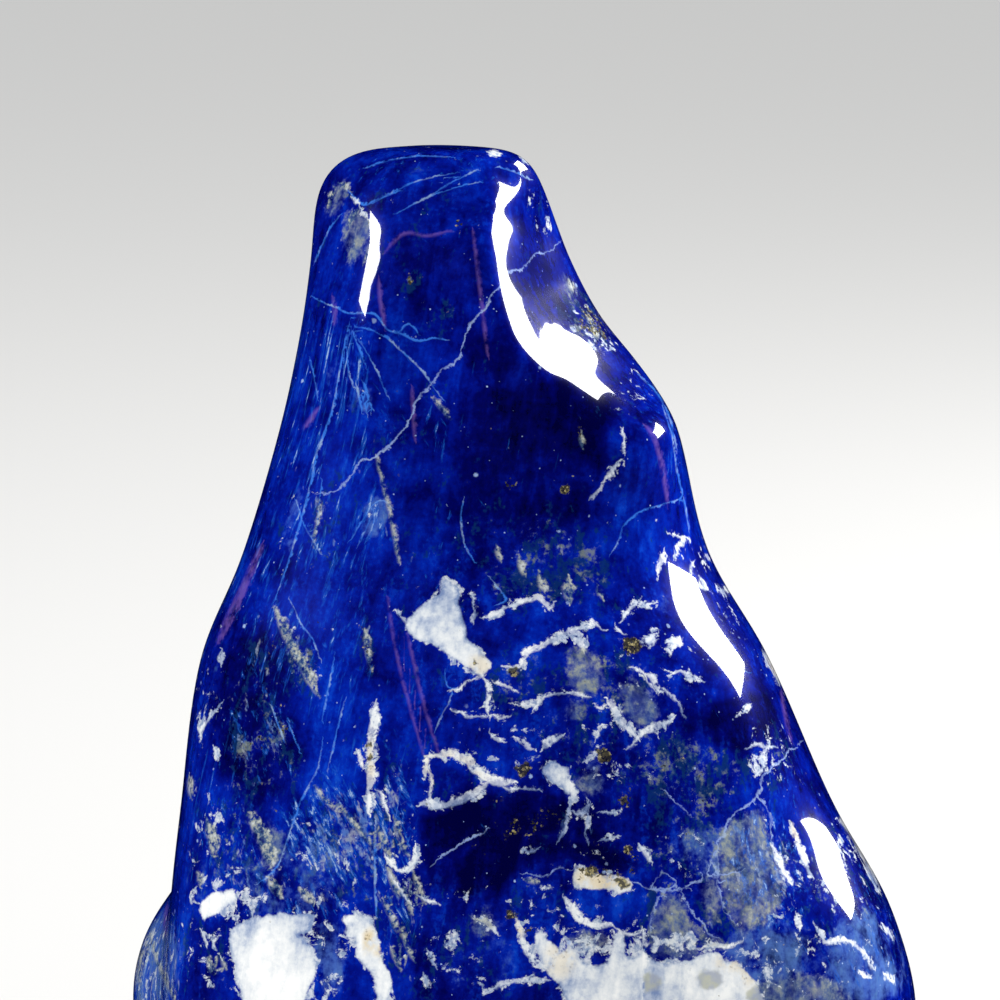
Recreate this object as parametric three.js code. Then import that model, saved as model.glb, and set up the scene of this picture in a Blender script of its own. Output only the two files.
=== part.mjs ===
// A polished freeform of lapis lazuli: one stone that stands on a flat sawn base and tapers to a blunt knob.
// Millimetres, +Z up. The front faces -Y. The origin is on the base, under the centre of the bounding box.
//
// The body is a loft. Nine rails run up the stone, and each level's outline is a closed curve through them.
// Scoops are ground out of the loft and lumps are left standing on it, each with a softly rounded edge.
import * as THREE from "three";

// Driving dimensions.
const HEIGHT = 111;
const CAP_HEIGHT = 9; // the rounded top begins this far below the summit
const CAP_SQUARENESS = 3.4; // 2 is a dome, and more is a flatter top with a tighter shoulder
const CAP_SQUARENESS_RIGHT = 7; // the top's right corner is the tightest
const BASE_ROUND = 3; // height of the rounded lower edge
const BASE_INSET = 2.5; // how far the lower edge is drawn in at the base
const CAP_START = HEIGHT - CAP_HEIGHT;

// Mesh density.
const SEGMENTS = 84;
const BASE_EDGE_RINGS = [0, 0.15, 0.45];
const BODY_RINGS = 45;
const RING_CROWDING = 0.25; // how much closer the rings stand toward the knob
const CAP_RINGS = 9;
const BASE_RINGS = 3;

// How finely the surface is found.
const OUTLINE_SAMPLES = 360;
const OUTLINES_PER_MM = 50;
const REACH = 80; // every point of the surface is nearer than this to the spine
const HALVINGS = 40;

const FULL_TURN = 2 * Math.PI;

// The rails, in order round the stone from its right side and past the front. Each point is [height, x, y].
const RAILS = {
  rightSide: [
    [0, 40, 2], [14, 43.2, 2], [27, 39.8, 2], [38, 33.8, 2], [55, 26.2, 2], [66, 20, 2],
    [80, 16.3, 2], [84, 14.3, 2], [87.5, 11.8, 2], [92, 8.1, 3], [98, 4.9, 3], [104, 2.7, 1],
  ],
  rightFront: [
    [0, 32, -17], [14, 37, -18.5], [27, 36.5, -16.5], [38, 30, -14.5], [55, 22.5, -14], [66, 15.5, -11.5],
    [80, 13.2, -9.8], [84, 10.2, -9.3], [88, 1.5, -12.2], [92, -1.8, -12], [98, -4.6, -11], [104, -3.8, -8.7],
  ],
  front: [
    [0, 8, -26.5], [14, 8, -29.5], [27, 8, -28.8], [38, 6, -27], [55, 3, -23.5], [66, -1, -19.3],
    [80, -1, -15.2], [84, -2, -14.4], [88, -5.5, -13.3], [92, -8.5, -12.4], [98, -9.5, -11.4],
    [104, -9.5, -9.4],
  ],
  frontRidge: [
    [0, -17, -23], [14, -16.5, -27], [27, -16.5, -26], [38, -16.5, -24.5], [55, -16.8, -21.5],
    [66, -17, -18], [80, -17, -14.3], [90, -15.8, -12.3], [98, -15, -11.2], [104, -15, -9.3],
  ],
  leftRidge: [
    [0, -33, -14], [14, -36.5, -16], [27, -36.8, -15], [38, -35.8, -14], [55, -33, -12],
    [66, -28.7, -11], [80, -24.5, -9], [90, -22.2, -7.6], [98, -20.8, -6.4], [104, -20.3, -5],
  ],
  leftSide: [
    [0, -37.5, -3], [14, -40.2, -3], [27, -39.4, -3], [38, -38.2, -3], [55, -36, -3], [66, -31.5, -2],
    [80, -27.3, -1.5], [90, -25.1, -0.5], [98, -23.9, 0], [104, -23.4, 0],
  ],
  backLeft: [
    [0, -29, 17], [14, -31, 19], [30, -30.5, 18.5], [48, -27.5, 16], [66, -24.3, 13.8],
    [82, -21.2, 11.7], [96, -19.4, 9], [104, -18.6, 7.2],
  ],
  back: [
    [0, 3, 25], [14, 3, 28], [30, 1.8, 26.7], [48, -0.5, 23.4], [66, -3.5, 19.2],
    [82, -6.4, 15], [96, -9, 11.6], [104, -10.8, 9.6],
  ],
  backRight: [
    [0, 30, 18], [14, 33, 20], [30, 29, 19], [48, 20.8, 16.5], [66, 13.5, 13.6],
    [82, 7.9, 11], [96, 1.2, 8.6], [104, -2.5, 7],
  ],
};

// The middle of the stone, as [height, x].
const SPINE = [[0, 1], [14, 1], [38, -2], [55, -4], [66, -6], [80, -6], [92, -9], [104, -10.5]];

// Ground hollows: an ellipsoid's centre and half-axes, and the width of its soft rim.
const SCOOPS = [
  { name: "hollow in the knob's face", at: [-9.5, -20.6, 95.5], size: [11.5, 10, 18], soft: 4 },
  { name: "hollow below the knob", at: [0, -34, 80], size: [31, 20, 22], soft: 2 },
  { name: "groove up the back", at: [-14, 35.2, 58], size: [22, 18, 48], soft: 5 },
  { name: "flat on the right of the back", at: [44.8, 70.2, 51], size: [60, 60, 60], soft: 5 },
  { name: "hollow high on the back", at: [-3, 24.8, 94], size: [14, 14, 20], soft: 4 },
];

// Standing lumps, given in the same way.
const LUMPS = [
  { name: "lobe low on the left, behind", at: [-33, 7, 14.5], size: [11.5, 13, 15], soft: 4 },
];

// A smooth curve through points given as [height, value], read at height z.
// Above the last point it runs on straight.
function valueAt(points, z) {
  const last = points.length - 1;
  const slope = (k) => {
    const [below, above] = [points[Math.max(k - 1, 0)], points[Math.min(k + 1, last)]];
    return (above[1] - below[1]) / (above[0] - below[0]);
  };
  if (z >= points[last][0]) return points[last][1] + slope(last) * (z - points[last][0]);
  const i = Math.max(points.findIndex((point) => z < point[0]) - 1, 0);
  const [[z0, v0], [z1, v1]] = [points[i], points[i + 1]];
  const t = (z - z0) / (z1 - z0);
  const t2 = t * t;
  const t3 = t2 * t;
  const bends = (t3 - 2 * t2 + t) * slope(i) + (t3 - t2) * slope(i + 1);
  return v0 + (3 * t2 - 2 * t3) * (v1 - v0) + bends * (z1 - z0);
}

const spineX = (z) => valueAt(SPINE, z);

// The loft's outline at a height, as a list of [angle about the spine, radius].
const outlines = new Map();
function outlineAt(z) {
  const key = Math.round(z * OUTLINES_PER_MM);
  if (outlines.has(key)) return outlines.get(key);
  const corners = Object.values(RAILS).map((rail) => {
    const x = valueAt(rail.map((point) => [point[0], point[1]]), z);
    const y = valueAt(rail.map((point) => [point[0], point[2]]), z);
    return new THREE.Vector3(x, y, 0);
  });
  const middle = spineX(z);
  const polar = new THREE.CatmullRomCurve3(corners, true, "centripetal")
    .getPoints(OUTLINE_SAMPLES)
    .slice(0, -1)
    .map((p) => [Math.atan2(p.y, p.x - middle), Math.hypot(p.x - middle, p.y)])
    .sort((a, b) => a[0] - b[0]);
  outlines.set(key, polar);
  return polar;
}

function loftRadius(angle, z) {
  const polar = outlineAt(z);
  const wrapped = Math.atan2(Math.sin(angle), Math.cos(angle));
  let low = 0;
  let high = polar.length;
  while (low < high) {
    const mid = (low + high) >> 1;
    if (polar[mid][0] < wrapped) low = mid + 1;
    else high = mid;
  }
  const after = polar[low % polar.length];
  const before = polar[(low + polar.length - 1) % polar.length];
  const gap = THREE.MathUtils.euclideanModulo(after[0] - before[0], FULL_TURN);
  const past = THREE.MathUtils.euclideanModulo(wrapped - before[0], FULL_TURN);
  return THREE.MathUtils.lerp(before[1], after[1], gap > 0 ? past / gap : 0);
}

// How much of the loft's radius is left at a height: all of it, but for the rounded top.
function capShare(angle, z) {
  const up = (z - CAP_START) / CAP_HEIGHT;
  if (up <= 0) return 1;
  if (up >= 1) return 0;
  const rightness = ((1 + Math.cos(angle)) / 2) ** 2;
  const squareness = THREE.MathUtils.lerp(CAP_SQUARENESS, CAP_SQUARENESS_RIGHT, rightness);
  return (1 - up ** squareness) ** (1 / squareness);
}

function baseInset(z) {
  const down = 1 - z / BASE_ROUND;
  return down > 0 ? BASE_INSET * (1 - Math.sqrt(1 - down * down)) : 0;
}

const smoothMin = (a, b, soft) => {
  const h = Math.max(soft - Math.abs(a - b), 0) / soft;
  return Math.min(a, b) - (h * h * soft) / 4;
};
const smoothMax = (a, b, soft) => -smoothMin(-a, -b, soft);

// Roughly the distance in mm from an ellipsoid's surface, below 0 inside it.
function ellipsoid({ at, size }, p) {
  const offset = [p.x - at[0], p.y - at[1], p.z - at[2]];
  const scaled = offset.map((d, i) => d / size[i]);
  const k = Math.hypot(...scaled);
  const steepness = Math.hypot(...scaled.map((d, i) => d / size[i]));
  return steepness > 0 ? (k * (k - 1)) / steepness : -Math.min(...size);
}

// Below 0 inside the stone, and above 0 outside it.
function stone(p) {
  const middle = spineX(p.z);
  const angle = Math.atan2(p.y, p.x - middle);
  const share = capShare(angle, p.z);
  let value = Math.hypot(p.x - middle, p.y) - (loftRadius(angle, p.z) * share - baseInset(p.z));
  for (const lump of LUMPS) value = smoothMin(value, ellipsoid(lump, p), lump.soft);
  for (const scoop of SCOOPS) value = smoothMax(value, -ellipsoid(scoop, p), scoop.soft);
  return value;
}

// The surface along a ray from inside the stone.
function surfacePoint(from, direction) {
  let near = 0;
  let far = REACH;
  for (let i = 0; i < HALVINGS; i++) {
    const mid = (near + far) / 2;
    const p = from.clone().addScaledVector(direction, mid);
    if (p.z < HEIGHT && stone(p) < 0) near = mid;
    else far = mid;
  }
  return from.clone().addScaledVector(direction, (near + far) / 2);
}

function ringOfRays(z, tilt) {
  const from = new THREE.Vector3(spineX(z), 0, z);
  return Array.from({ length: SEGMENTS }, (_, i) => {
    const angle = (FULL_TURN * i) / SEGMENTS;
    const outward = new THREE.Vector3(Math.cos(angle), Math.sin(angle), 0);
    const direction = outward.multiplyScalar(Math.cos(tilt)).setZ(Math.sin(tilt));
    return surfacePoint(from, direction);
  });
}

// The rings of points from the middle of the base, out along it, up the body and over the rounded top.
function stoneRings() {
  const rings = BASE_EDGE_RINGS.map((share) => ringOfRays(BASE_ROUND * share, 0));
  const footMiddle = new THREE.Vector3(spineX(0), 0, 0);
  const foot = rings[0];
  for (let i = BASE_RINGS - 1; i > 0; i--) {
    rings.unshift(foot.map((p) => footMiddle.clone().lerp(p, i / BASE_RINGS)));
  }
  for (let i = 0; i < BODY_RINGS; i++) {
    const t = i / BODY_RINGS;
    const share = t * (1 + RING_CROWDING * (1 - t));
    rings.push(ringOfRays(THREE.MathUtils.lerp(BASE_ROUND, CAP_START, share), 0));
  }
  for (let i = 0; i < CAP_RINGS; i++) {
    rings.push(ringOfRays(CAP_START, (Math.PI / 2) * (i / CAP_RINGS)));
  }
  return rings;
}

function stoneGeometry() {
  const rings = stoneRings();
  const footMiddle = new THREE.Vector3(spineX(0), 0, 0);
  const summit = surfacePoint(new THREE.Vector3(spineX(CAP_START), 0, CAP_START), new THREE.Vector3(0, 0, 1));
  const points = [...rings.flat(), footMiddle, summit];
  const footIndex = rings.length * SEGMENTS;
  const summitIndex = footIndex + 1;
  const topRing = (rings.length - 1) * SEGMENTS;
  const triangles = [];
  for (let i = 0; i < SEGMENTS; i++) {
    const next = (i + 1) % SEGMENTS;
    triangles.push(footIndex, next, i);
    for (let ring = 0; ring < topRing; ring += SEGMENTS) {
      const above = ring + SEGMENTS;
      triangles.push(ring + i, ring + next, above + next);
      triangles.push(ring + i, above + next, above + i);
    }
    triangles.push(topRing + i, topRing + next, summitIndex);
  }
  const geometry = new THREE.BufferGeometry().setFromPoints(points);
  geometry.setIndex(triangles);
  geometry.computeBoundingBox();
  const middle = geometry.boundingBox.getCenter(new THREE.Vector3());
  geometry.translate(-middle.x, -middle.y, 0);
  geometry.computeVertexNormals();
  return geometry;
}

const lapis = new THREE.MeshStandardMaterial({ color: 0x0a1f9c, roughness: 0.12, metalness: 0 });

const part = new THREE.Group();
const mesh = new THREE.Mesh(stoneGeometry(), lapis);
mesh.name = "stone";
part.add(mesh);

export default part;
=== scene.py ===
import math

import bpy
import numpy as np
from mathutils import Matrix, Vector


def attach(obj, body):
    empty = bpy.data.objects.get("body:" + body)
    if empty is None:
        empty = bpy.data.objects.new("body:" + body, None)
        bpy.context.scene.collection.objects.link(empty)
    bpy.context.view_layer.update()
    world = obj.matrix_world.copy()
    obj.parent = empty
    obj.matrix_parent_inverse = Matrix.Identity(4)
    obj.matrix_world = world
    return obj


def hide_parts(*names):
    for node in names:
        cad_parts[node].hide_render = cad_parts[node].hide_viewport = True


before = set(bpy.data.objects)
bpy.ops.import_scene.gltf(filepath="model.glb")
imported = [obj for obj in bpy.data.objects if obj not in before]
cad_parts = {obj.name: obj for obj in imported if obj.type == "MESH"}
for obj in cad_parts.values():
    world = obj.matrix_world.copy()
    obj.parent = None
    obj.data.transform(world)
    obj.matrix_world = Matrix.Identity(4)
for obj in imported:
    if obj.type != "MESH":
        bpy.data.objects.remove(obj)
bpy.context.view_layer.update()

# A polished lapis lazuli freeform. The stone's mesh is the imported one, refined; its markings are drawn as
# routes, outlines and soft strokes in picture pixels, and carried to the surface as distances from them.
# Some strokes and lines paint shade, light, sheen and reflections into the colour, as marked where they
# stand.

# The camera.
LOOK_AT = Vector((-0.00248, 0.0, 0.07215))  # metres
ELEVATION = math.radians(8)
DISTANCE = 0.70         # metres
PICTURE_SIDE = 1000     # pixels
PIXEL_AT_LOOK = 0.00011  # metres of the scene in a pixel, at the place looked at
SENSOR = 36.0           # millimetres
NEAREST = 0.01          # metres; nothing nearer is drawn
FLOOR_SIDE = 12.0       # metres

# The mesh.
REFINEMENTS = 2
WELD_DECIMALS = 7       # points that agree to this many decimals of a metre are one
EVENING_SHARES = (0.5, -0.52)
EVENING_ROUNDS = 10

# The relief, drawn in pixels and millimetres.
MILLIMETRE = 0.001
RELIEF_STEPS = 24       # samples of the disc that it is evened over
RELIEF_REACH = 9.0      # and that disc's radius
RELIEF_LEFT = 200.0     # there is no relief to the left of this
RELIEF_FADE = (-0.15, 0.15)  # it fades out where the surface turns away from the camera
GOLDEN_TURN = 2.39996   # radians

# The drawing of the markings, in pixels.
ROUTE_STEPS = 4         # pieces of a curve between two points of its route
FAR = 60.0              # distances are told up to this
VEIN_PILES = ("vein_1", "vein_2", "vein_3")
HAIR_PILES = ("hairline_1", "hairline_2")
LINE_END = 0.4          # a line's width at its ends, as a share of its width
LINE_TAPER = 3.0        # and how fast it widens from there, along its length
STROKE_EDGE = (0.55, 1.35)  # a stroke fades out between these shares of its size
GLANCING = (0.02, 0.20)  # the drawing gives way where the surface is seen this edge-on
BEHIND = (-0.3, 0.0)    # and where it faces away
HIDDEN_SHARE = 0.6      # how far it gives way there

# ---------------------------------------------------------------------------------------------------------
# Markings. Every route is (half-width, points), every outline a list of points, every stroke
# (x, y, half-width, half-height, tilt in degrees, amount): all in pixels of the 1000 x 1000 picture.

WHITE_VEINS = [
    # round the sail and to its right
    (2.0, [(396, 611), (401, 615), (406, 622)]),
    (3.6, [(474, 620), (475, 614)]),
    (1.4, [(472, 594), (474, 604), (475, 612)]),
    (2.4, [(483, 618), (497, 614), (507, 606)]),
    (3.6, [(507, 606), (520, 603), (535, 597), (543, 601), (549, 608), (553, 604)]),
    (3.4, [(505, 667), (519, 667), (524, 656), (535, 649), (553, 640), (566, 635), (584, 627), (594, 624),
           (604, 629)]),
    (6.0, [(574, 634), (580, 641), (583, 648)]),
    (2.4, [(622, 620), (626, 613), (632, 606), (639, 599)]),
    (1.4, [(638, 600), (646, 604), (655, 604)]),
    (1.6, [(616, 626), (620, 631), (624, 634)]),
    (3.8, [(641, 640), (648, 638), (655, 633)]),
    (2.6, [(650, 645), (655, 640)]),
    (4.0, [(669, 641), (678, 641), (674, 647)]),
    # below the sail
    (2.4, [(482, 676), (488, 684), (490, 693), (488, 706), (489, 717)]),
    (1.5, [(452, 711), (460, 713), (468, 716), (479, 716), (489, 717)]),
    (1.6, [(491, 716), (500, 718), (509, 718)]),
    (1.5, [(483, 676), (470, 681), (460, 688), (451, 690)]),
    (1.4, [(494, 681), (503, 686), (516, 692)]),
    (2.2, [(533, 710), (537, 705), (543, 698), (553, 693), (566, 692), (579, 694), (588, 697)]),
    (1.6, [(512, 703), (524, 705), (533, 704)]),
    (2.2, [(596, 706), (602, 708), (606, 705)]),
    (4.6, [(608, 701), (613, 706), (619, 715), (628, 726), (635, 735)]),
    (4.6, [(635, 741), (640, 735), (648, 730), (658, 725), (672, 718)]),
    (1.5, [(627, 748), (634, 744)]),
    (2.2, [(596, 739), (597, 730), (600, 726), (604, 725)]),
    (4.0, [(543, 748), (551, 741), (561, 736)]),
    (2.4, [(492, 732), (497, 738), (503, 741)]),
    (2.8, [(516, 738), (523, 741), (528, 747), (533, 749)]),
    (3.0, [(586, 761), (591, 757), (597, 754)]),
    (1.6, [(632, 668), (642, 673), (648, 681), (655, 690)]),
    (2.8, [(645, 674), (652, 677), (656, 686), (660, 692)]),
    (1.6, [(670, 676), (680, 672), (690, 677), (702, 681)]),
    (1.6, [(664, 690), (672, 697), (680, 705), (684, 716)]),
    # the ring
    (3.4, [(425, 776), (426, 766), (429, 757)]),
    (5.0, [(429, 757), (440, 754), (453, 754), (466, 760), (477, 771), (487, 778), (499, 783), (513, 783)]),
    (1.8, [(426, 768), (431, 777), (430, 790), (427, 799)]),
    (4.4, [(421, 805), (430, 805), (440, 806), (452, 803), (466, 798), (478, 792), (487, 784)]),
    (1.6, [(500, 786), (512, 789), (526, 787), (540, 790)]),
    # the boot and what hangs from it
    (3.4, [(571, 786), (573, 797), (571, 808)]),
    (2.0, [(571, 806), (566, 820), (562, 832), (558, 841)]),
    (3.4, [(574, 812), (581, 813), (588, 805)]),
    (1.8, [(588, 800), (590, 815), (587, 832), (588, 842)]),
    (1.6, [(600, 812), (610, 813), (619, 811)]),
    (1.8, [(524, 849), (531, 850), (537, 848)]),
    (1.6, [(601, 840), (611, 838), (618, 837)]),
    (3.0, [(641, 846), (645, 854), (650, 862)]),
    # the left half
    (5.6, [(375, 704), (374, 728), (371, 750), (371, 772), (370, 812)]),
    (2.2, [(358, 752), (362, 766)]),
    (2.4, [(200, 738), (201, 727), (208, 719), (215, 709), (220, 704)]),
    (2.6, [(215, 748), (217, 757)]),
    (3.2, [(221, 652), (220, 663)]),
    (2.0, [(378, 790), (384, 803), (389, 818)]),
    (2.4, [(204, 932), (206, 944)]),
    (2.6, [(386, 856), (393, 865), (402, 872), (408, 868), (416, 861), (417, 847)]),
    (1.6, [(392, 878), (404, 893), (412, 905)]),
    # along the bottom
    (2.0, [(420, 896), (428, 900), (438, 904)]),
    (4.0, [(565, 898), (573, 911), (583, 921), (598, 925), (610, 925)]),
    (3.0, [(476, 919), (484, 920), (491, 926), (497, 933)]),
    (2.0, [(428, 952), (432, 958), (436, 967)]),
    (2.4, [(424, 976), (428, 984)]),
    (4.2, [(516, 917), (521, 931), (526, 948), (534, 958), (545, 968)]),
    (2.4, [(486, 993), (498, 986), (511, 982), (530, 980), (548, 980)]),
    (2.2, [(615, 926), (622, 932), (632, 934), (643, 930)]),
    (3.0, [(643, 930), (645, 940), (645, 955), (643, 975), (642, 1005)]),
    (2.0, [(700, 950), (712, 945), (728, 948), (742, 941)]),
    (2.6, [(797, 915), (799, 928)]),
    (2.6, [(815, 924), (821, 933), (826, 944), (838, 939), (853, 944), (866, 955), (873, 968)]),
    (2.0, [(881, 925), (887, 932), (892, 940)]),
    (4.6, [(862, 974), (868, 976)]),
    (3.0, [(886, 975), (892, 982)]),
    (2.8, [(772, 846), (777, 860), (783, 871), (790, 882)]),
    (3.0, [(791, 824), (795, 835), (802, 854), (811, 876)]),
    (5.0, [(840, 821), (852, 832), (862, 850), (870, 868), (877, 889)]),
    # the right rim
    (1.8, [(670, 533), (678, 535), (683, 541), (677, 547), (676, 556)]),
    (3.4, [(663, 552), (660, 562), (658, 575)]),
    (2.4, [(706, 556), (709, 560)]),
    (1.4, [(693, 563), (691, 570), (692, 577)]),
    (4.6, [(721, 588), (725, 595)]),
    (3.6, [(697, 581), (705, 588)]),
    (3.4, [(764, 650), (772, 665), (781, 684)]),
    (2.6, [(768, 745), (763, 757), (765, 769), (757, 775)]),
    (1.6, [(748, 748), (755, 744), (764, 747), (775, 747)]),
    (1.0, [(738, 714), (744, 710), (749, 705)]),
    # the vein on the dark hollow and the knob
    (1.6, [(622, 430), (624, 441), (624, 452)]),
    (3.6, [(619, 463), (612, 473), (605, 480)]),
    (1.8, [(605, 480), (598, 490), (591, 497)]),
    (3.4, [(354, 198), (358, 203)]),
    (3.6, [(363, 211), (366, 217)]),
    (2.4, [(490, 152), (499, 154)]),
    (2.8, [(521, 158), (526, 163)]),
]

HAIRLINES = [
    (1.3, [(349, 325), (345, 342), (339, 375), (332, 411), (318, 451), (308, 495), (298, 530), (290, 557),
           (275, 600)]),
    (0.9, [(322, 480), (320, 500), (316, 535)]),
    (1.1, [(350, 326), (372, 330), (388, 339), (405, 354), (423, 372), (443, 400)]),
    (1.5, [(351, 326), (357, 342), (366, 366)]),
    (0.9, [(350, 328), (347, 352), (349, 372), (354, 388)]),
    (0.9, [(352, 330), (366, 350), (380, 378), (388, 398)]),
    (1.2, [(356, 384), (359, 398), (362, 411)]),
    (1.2, [(363, 380), (367, 395), (372, 409)]),
    (1.0, [(360, 390), (364, 403), (367, 414)]),
    (0.9, [(350, 541), (360, 524), (371, 506)]),
    (0.9, [(358, 545), (366, 528), (374, 510)]),
    (0.9, [(371, 506), (382, 500), (392, 508)]),
    (0.9, [(376, 508), (374, 522), (367, 540)]),
    (0.9, [(296, 500), (302, 520), (312, 538), (320, 552)]),
    (0.9, [(310, 360), (315, 380), (318, 400)]),
    (0.8, [(372, 204), (394, 191), (424, 179), (458, 172)]),
    (0.8, [(396, 214), (420, 201), (450, 189), (480, 182)]),
    (0.8, [(366, 168), (390, 160), (420, 156), (450, 157)]),
    (0.8, [(430, 196), (452, 182), (478, 170)]),
    (1.3, [(314, 298), (325, 303), (338, 308), (348, 313), (374, 314), (387, 329), (402, 334), (417, 341),
           (435, 338), (446, 340)]),
    (1.0, [(400, 332), (408, 324), (414, 328), (418, 333)]),
    (1.4, [(348, 190), (355, 198), (364, 205), (375, 200), (388, 195), (401, 190)]),
    (1.2, [(498, 167), (510, 170), (520, 174), (530, 180)]),
    (0.9, [(315, 262), (322, 245), (330, 228), (340, 215)]),
    (1.2, [(686, 496), (672, 502), (655, 507), (640, 512), (625, 524), (619, 540), (611, 554)]),
    (1.1, [(638, 374), (657, 393), (669, 416), (677, 449)]),
    (1.0, [(662, 405), (672, 435), (677, 470), (684, 500), (689, 530)]),
    (0.9, [(463, 500), (461, 515), (462, 532), (467, 550), (474, 561)]),
    (1.0, [(323, 740), (317, 771), (304, 794), (295, 817), (286, 845), (278, 865), (268, 876), (258, 883)]),
    (1.5, [(376, 820), (375, 850), (375, 880), (376, 915)]),
    (0.9, [(288, 722), (294, 737), (300, 751)]),
    (0.9, [(271, 705), (277, 722), (284, 741)]),
    (0.9, [(452, 690), (449, 703), (441, 717), (436, 730)]),
    (0.9, [(445, 672), (447, 686), (455, 689)]),
    (1.0, [(497, 605), (507, 600), (500, 590), (490, 578)]),
    (1.0, [(320, 660), (313, 640), (300, 622), (290, 600)]),
    (1.0, [(335, 655), (328, 690), (322, 722)]),
    (1.0, [(345, 700), (336, 735), (328, 770)]),
    (1.0, [(700, 628), (715, 650), (733, 668), (748, 672)]),
]

PALE_CRACKS = [
    (1.5, [(559, 242), (550, 250), (535, 255), (525, 267), (512, 270), (502, 283), (494, 293), (481, 308),
           (468, 329), (461, 352), (443, 370), (428, 388), (415, 405), (411, 418), (401, 433), (391, 444),
           (376, 456), (361, 462), (351, 474), (336, 490), (320, 495)]),
    (1.5, [(801, 742), (789, 751), (777, 763), (764, 776), (756, 796), (744, 806), (733, 817), (723, 832),
           (714, 845), (710, 860), (706, 874)]),
    (1.6, [(756, 797), (764, 804), (769, 815), (771, 830), (772, 846)]),
    (1.2, [(714, 845), (718, 865), (719, 888), (723, 906), (733, 924)]),
    (1.4, [(522, 875), (542, 875), (553, 870), (560, 867), (573, 869)]),
    (1.5, [(632, 882), (642, 885), (650, 888), (662, 892), (683, 887), (703, 878), (726, 874), (742, 869)]),
    (1.4, [(662, 892), (655, 906), (651, 920), (648, 932)]),
    (1.2, [(683, 888), (687, 903), (698, 919), (706, 930), (718, 938)]),
    (1.0, [(650, 888), (657, 878), (665, 872), (672, 879), (680, 886)]),
    (1.2, [(433, 865), (453, 850), (463, 844)]),
    (2.0, [(463, 844), (471, 840), (486, 830)]),
    (1.0, [(663, 787), (672, 797), (680, 805), (691, 816)]),
]

# Painted reflections: thin violet lines where the polish mirrors thin coloured things about it.
VIOLET_REFLECTIONS = [
    (1.3, [(385, 252), (393, 243), (402, 235), (412, 233), (425, 236), (438, 234), (451, 231)]),
    (1.6, [(473, 231), (476, 255), (480, 290), (484, 325), (488, 356)]),
    (2.2, [(333, 297), (335, 312), (334, 326)]),
    (1.8, [(412, 388), (413, 410), (415, 440)]),
    (2.4, [(318, 408), (310, 420), (303, 430)]),
    (4.6, [(262, 545), (245, 585), (232, 612), (218, 642)]),
    (2.6, [(646, 426), (655, 440), (663, 470), (668, 505)]),
    (1.2, [(388, 598), (392, 630), (400, 670), (412, 715), (424, 757)]),
    (1.4, [(408, 635), (413, 660), (424, 705), (438, 752)]),
    (2.0, [(379, 279), (380, 300), (385, 327)]),
    (1.6, [(781, 690), (785, 715), (791, 741)]),
    (2.2, [(167, 906), (165, 920), (166, 936)]),
]

BEIGE_FLECKS = [
    # the lower left
    (6.0, [(208, 822), (213, 838), (214, 852)]),
    (7.0, [(252, 816), (260, 830), (268, 850), (272, 864)]),
    (6.0, [(270, 880), (280, 894)]),
    (5.0, [(302, 890), (312, 902)]),
    (2.6, [(316, 788), (325, 798), (334, 809)]),
    (3.0, [(340, 805), (352, 820), (363, 834), (372, 845)]),
    (3.0, [(396, 818), (400, 832)]),
    (3.4, [(379, 830), (386, 846), (390, 856)]),
    (3.0, [(402, 840), (409, 856)]),
    (3.6, [(388, 868), (394, 884), (400, 896)]),
    (3.0, [(402, 884), (408, 900), (412, 912)]),
    (2.6, [(414, 874), (420, 890), (424, 902)]),
    (3.0, [(384, 900), (392, 918), (398, 932)]),
    (3.0, [(402, 928), (408, 946), (414, 960)]),
    (2.6, [(392, 950), (400, 968)]),
    # beside the left rim
    (5.0, [(276, 610), (286, 632), (298, 655), (310, 678), (318, 694)]),
    (3.0, [(366, 632), (368, 650), (371, 668)]),
    # on the knob
    (2.6, [(328, 207), (330, 199), (334, 191)]),
    (3.0, [(342, 184), (349, 189)]),
    (3.4, [(349, 226), (352, 216), (359, 210)]),
    (2.0, [(372, 240), (368, 252), (364, 262)]),
    # below it
    (2.2, [(434, 399), (441, 407), (449, 417)]),
    (1.8, [(377, 458), (383, 484), (390, 514), (395, 540), (399, 562)]),
    (1.4, [(320, 500), (318, 520), (313, 545)]),
    # across the middle
    (6.4, [(568, 580), (570, 600)]),
    (4.2, [(540, 574), (544, 590)]),
    (3.4, [(519, 558), (524, 574)]),
    (3.0, [(598, 588), (602, 598)]),
    (2.6, [(497, 548), (500, 560)]),
    (2.6, [(581, 434), (583, 446)]),
    (3.0, [(527, 880), (539, 882)]),
    # the rims
    (3.0, [(569, 279), (573, 290)]),
    (3.0, [(588, 316), (592, 328), (597, 338)]),
    (3.2, [(190, 777), (191, 797)]),
    (3.0, [(199, 874), (201, 884)]),
    (3.6, [(209, 827), (216, 842)]),
    # the lobe and beside it
    (2.6, [(151, 936), (155, 952), (162, 972), (174, 996), (186, 1016)]),
    (2.4, [(142, 938), (140, 960), (139, 984)]),
    (1.6, [(132, 950), (131, 972)]),
    (3.0, [(208, 958), (213, 972)]),
    (2.4, [(223, 958), (225, 968)]),
]

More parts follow.
